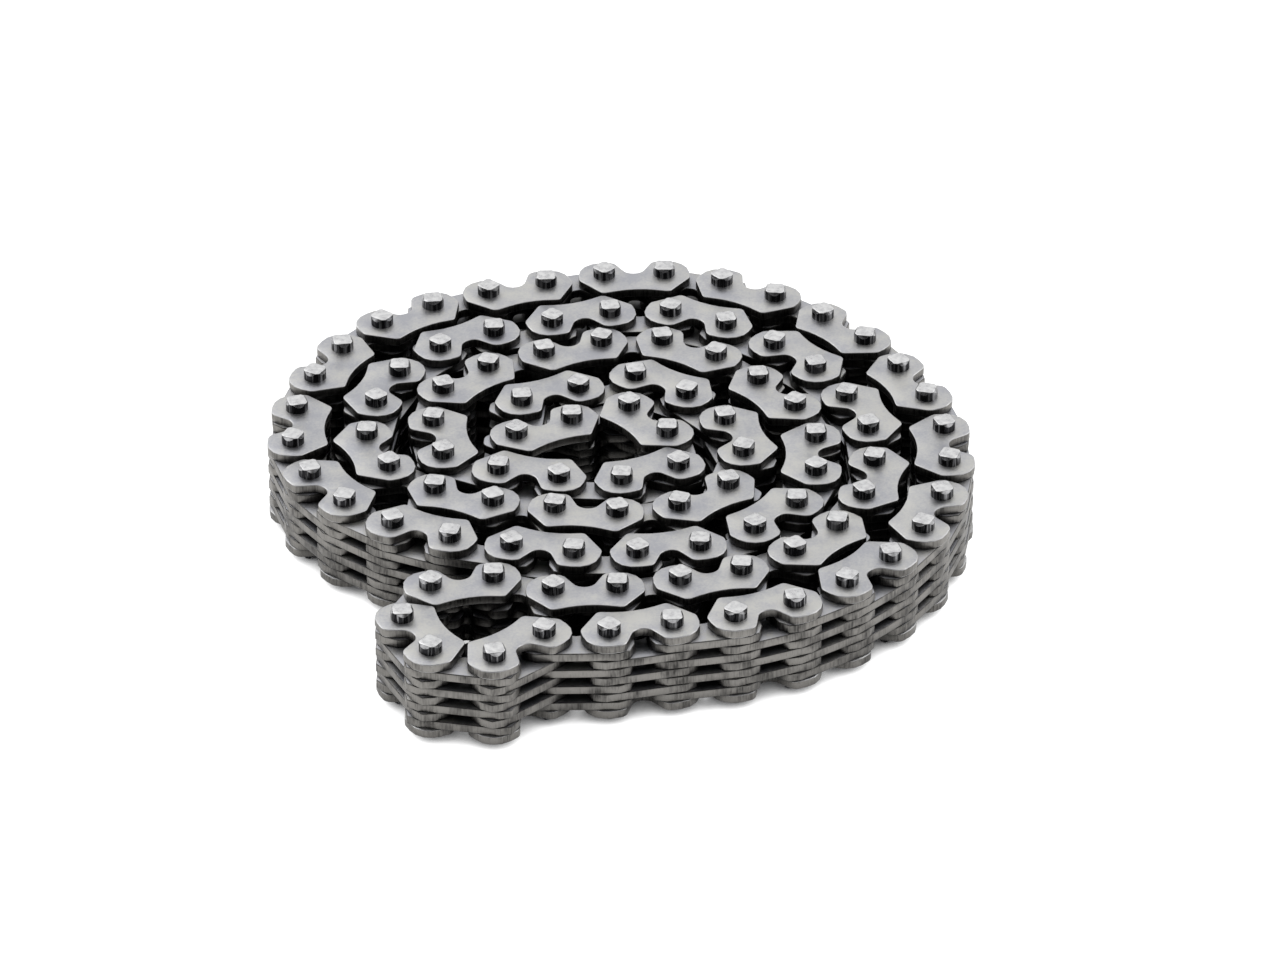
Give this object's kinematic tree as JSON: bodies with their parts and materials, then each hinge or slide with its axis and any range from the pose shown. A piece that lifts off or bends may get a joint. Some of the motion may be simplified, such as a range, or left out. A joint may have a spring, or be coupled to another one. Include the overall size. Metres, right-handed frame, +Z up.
{
  "type": "inverted tooth cam chain",
  "caption": "Endless inverted tooth chain of guide plates, toothed plates and pins, laid flat in a double coil; its outer fold swings open.",
  "frame": {"origin": "centre of the box round the coil, on the plane that the pin ends stand on", "axes": "+Z up along the pins, +X to the right and +Y away from the viewer; the fold of the tail lies towards -Y"},
  "size_m": [0.072, 0.0778, 0.0107],
  "materials": {
    "guide_plate": "satin rolled steel with rounded stamped edges",
    "toothed_plate": "darker stamped and hardened steel",
    "pin": "bright ground steel, riveted ends"
  },
  "bodies": {
    "coil": {"outer_guide_row_1": "guide_plate", "outer_guide_row_9": "guide_plate", "inner_guide_row_1": "guide_plate", "inner_guide_row_9": "guide_plate", "outer_pinned_row_3": "toothed_plate", "outer_pinned_row_5": "toothed_plate", "outer_pinned_row_7": "toothed_plate", "inner_pinned_row_3": "toothed_plate", "inner_pinned_row_5": "toothed_plate", "inner_pinned_row_7": "toothed_plate", "outer_turning_row_2": "toothed_plate", "outer_turning_row_4": "toothed_plate", "outer_turning_row_6": "toothed_plate", "outer_turning_row_8": "toothed_plate", "inner_turning_row_2": "toothed_plate", "inner_turning_row_4": "toothed_plate", "inner_turning_row_6": "toothed_plate", "inner_turning_row_8": "toothed_plate", "outer_pins": "pin", "inner_pins": "pin"},
    "link_08": {"inner_link_08": "toothed_plate"},
    "link_07": {"guide_link_07_plates": "guide_plate", "guide_link_07_pins": "pin"},
    "link_06": {"inner_link_06": "toothed_plate"},
    "link_05": {"guide_link_05_plates": "guide_plate", "guide_link_05_pins": "pin"},
    "link_04": {"inner_link_04": "toothed_plate"},
    "link_03": {"guide_link_03_plates": "guide_plate", "guide_link_03_pins": "pin"},
    "link_02": {"inner_link_02": "toothed_plate"},
    "link_01": {"guide_link_01_plates": "guide_plate", "guide_link_01_pins": "pin"},
    "link_00": {"inner_link_00": "toothed_plate"},
    "link_95": {"guide_link_95_plates": "guide_plate", "guide_link_95_pins": "pin"},
    "link_94": {"inner_link_94": "toothed_plate"},
    "link_93": {"guide_link_93_plates": "guide_plate", "guide_link_93_pins": "pin"},
    "link_92": {"inner_link_92": "toothed_plate"},
    "link_91": {"guide_link_91_plates": "guide_plate", "guide_link_91_pins": "pin"},
    "link_90": {"inner_link_90": "toothed_plate"},
    "link_89": {"guide_link_89_plates": "guide_plate", "guide_link_89_pins": "pin"},
    "link_88": {"inner_link_88": "toothed_plate"},
    "link_87": {"guide_link_87_plates": "guide_plate", "guide_link_87_pins": "pin"},
    "link_86": {"inner_link_86": "toothed_plate"},
    "link_85": {"guide_link_85_plates": "guide_plate", "guide_link_85_pins": "pin"},
    "link_84": {"inner_link_84": "toothed_plate"},
    "link_83": {"guide_link_83_plates": "guide_plate", "guide_link_83_pins": "pin"},
    "link_82": {"inner_link_82": "toothed_plate"},
    "link_81": {"guide_link_81_plates": "guide_plate", "guide_link_81_pins": "pin"}
  },
  "joints": [
    {"name": "hinge_09", "type": "hinge", "parent": "coil", "child": "link_08", "pos_m": [0.0334, -0.00077, 0.00535], "axis": [0, 0, 1], "range_deg": [0, 4.56]},
    {"name": "hinge_08", "type": "hinge", "parent": "link_08", "child": "link_07", "pos_m": [0.03243, -0.00705, 0.00535], "axis": [0, 0, 1], "range_deg": [0, 2.41]},
    {"name": "hinge_07", "type": "hinge", "parent": "link_07", "child": "link_06", "pos_m": [0.03031, -0.01303, 0.00535], "axis": [0, 0, 1], "range_deg": [0, 2.15]},
    {"name": "hinge_06", "type": "hinge", "parent": "link_06", "child": "link_05", "pos_m": [0.0269, -0.01839, 0.00535], "axis": [0, 0, 1], "range_deg": [0, 2.2]},
    {"name": "hinge_05", "type": "hinge", "parent": "link_05", "child": "link_04", "pos_m": [0.02246, -0.02293, 0.00535], "axis": [0, 0, 1], "range_deg": [0, 2.39]},
    {"name": "hinge_04", "type": "hinge", "parent": "link_04", "child": "link_03", "pos_m": [0.01724, -0.02655, 0.00535], "axis": [0, 0, 1], "range_deg": [0, 3.18]},
    {"name": "hinge_03", "type": "hinge", "parent": "link_03", "child": "link_02", "pos_m": [0.01139, -0.029, 0.00535], "axis": [0, 0, 1], "range_deg": [0, 4.05]},
    {"name": "hinge_02", "type": "hinge", "parent": "link_02", "child": "link_01", "pos_m": [0.00516, -0.03025, 0.00535], "axis": [0, 0, 1], "range_deg": [0, 3.18]},
    {"name": "hinge_01", "type": "hinge", "parent": "link_01", "child": "link_00", "pos_m": [-0.00101, -0.03175, 0.00535], "axis": [0, 0, 1], "range_deg": [-0.985, 0]},
    {"name": "hinge_00", "type": "hinge", "parent": "link_00", "child": "link_95", "pos_m": [-0.00736, -0.03192, 0.00535], "axis": [0, 0, -1], "range_deg": [0, 12]},
    {"name": "hinge_95", "type": "hinge", "parent": "link_95", "child": "link_94", "pos_m": [-0.01213, -0.03611, 0.00535], "axis": [0, 0, 1], "range_deg": [-10.04, 0]},
    {"name": "hinge_94", "type": "hinge", "parent": "link_94", "child": "link_93", "pos_m": [-0.01837, -0.03494, 0.00535], "axis": [0, 0, 1], "range_deg": [0, 2.26]},
    {"name": "hinge_81", "type": "hinge", "parent": "coil", "child": "link_81", "pos_m": [0.02328, 0.01166, 0.00535], "axis": [0, 0, 1], "range_deg": [-0.163, 0]},
    {"name": "hinge_82", "type": "hinge", "parent": "link_81", "child": "link_82", "pos_m": [0.02535, 0.00566, 0.00535], "axis": [0, 0, 1], "range_deg": [0, 2.88]},
    {"name": "hinge_83", "type": "hinge", "parent": "link_82", "child": "link_83", "pos_m": [0.02579, -0.00068, 0.00535], "axis": [0, 0, 1], "range_deg": [0, 3.89]},
    {"name": "hinge_84", "type": "hinge", "parent": "link_83", "child": "link_84", "pos_m": [0.02457, -0.00691, 0.00535], "axis": [0, 0, 1], "range_deg": [0, 3.83]},
    {"name": "hinge_85", "type": "hinge", "parent": "link_84", "child": "link_85", "pos_m": [0.02176, -0.01261, 0.00535], "axis": [0, 0, 1], "range_deg": [0, 3.71]},
    {"name": "hinge_86", "type": "hinge", "parent": "link_85", "child": "link_86", "pos_m": [0.01741, -0.01723, 0.00535], "axis": [0, 0, 1], "range_deg": [0, 3.57]},
    {"name": "hinge_87", "type": "hinge", "parent": "link_86", "child": "link_87", "pos_m": [0.01206, -0.02066, 0.00535], "axis": [0, 0, 1], "range_deg": [0, 2.75]},
    {"name": "hinge_88", "type": "hinge", "parent": "link_87", "child": "link_88", "pos_m": [0.00598, -0.02249, 0.00535], "axis": [0, 0, 1], "range_deg": [0, 2.24]},
    {"name": "hinge_89", "type": "hinge", "parent": "link_88", "child": "link_89", "pos_m": [-0.00022, -0.02383, 0.00535], "axis": [0, 0, 1], "range_deg": [0, 1.17]},
    {"name": "hinge_90", "type": "hinge", "parent": "link_89", "child": "link_90", "pos_m": [-0.00655, -0.02431, 0.00535], "axis": [0, 0, 1], "range_deg": [-10.9, 0]},
    {"name": "hinge_91", "type": "hinge", "parent": "link_90", "child": "link_91", "pos_m": [-0.01248, -0.02204, 0.00535], "axis": [0, 0, 1], "range_deg": [-3.71, 0]},
    {"name": "hinge_92", "type": "hinge", "parent": "link_91", "child": "link_92", "pos_m": [-0.01866, -0.02352, 0.00535], "axis": [0, 0, 1], "range_deg": [-1.09, 0]}
  ],
  "couplings": [
    {"joint": "hinge_09", "follows": "hinge_00", "ratio": 0.37805},
    {"joint": "hinge_08", "follows": "hinge_00", "ratio": 0.19935},
    {"joint": "hinge_07", "follows": "hinge_00", "ratio": 0.17727},
    {"joint": "hinge_06", "follows": "hinge_00", "ratio": 0.18195},
    {"joint": "hinge_05", "follows": "hinge_00", "ratio": 0.19739},
    {"joint": "hinge_04", "follows": "hinge_00", "ratio": 0.26303},
    {"joint": "hinge_03", "follows": "hinge_00", "ratio": 0.33606},
    {"joint": "hinge_02", "follows": "hinge_00", "ratio": 0.26307},
    {"joint": "hinge_01", "follows": "hinge_00", "ratio": -0.080394},
    {"joint": "hinge_95", "follows": "hinge_00", "ratio": -0.83506},
    {"joint": "hinge_94", "follows": "hinge_00", "ratio": 0.18634},
    {"joint": "hinge_81", "follows": "hinge_00", "ratio": -0.01194},
    {"joint": "hinge_82", "follows": "hinge_00", "ratio": 0.23879},
    {"joint": "hinge_83", "follows": "hinge_00", "ratio": 0.32223},
    {"joint": "hinge_84", "follows": "hinge_00", "ratio": 0.31724},
    {"joint": "hinge_85", "follows": "hinge_00", "ratio": 0.30733},
    {"joint": "hinge_86", "follows": "hinge_00", "ratio": 0.296},
    {"joint": "hinge_87", "follows": "hinge_00", "ratio": 0.22732},
    {"joint": "hinge_88", "follows": "hinge_00", "ratio": 0.18503},
    {"joint": "hinge_89", "follows": "hinge_00", "ratio": 0.095836},
    {"joint": "hinge_90", "follows": "hinge_00", "ratio": -0.9071},
    {"joint": "hinge_91", "follows": "hinge_00", "ratio": -0.30746},
    {"joint": "hinge_92", "follows": "hinge_00", "ratio": -0.08883}
  ]
}
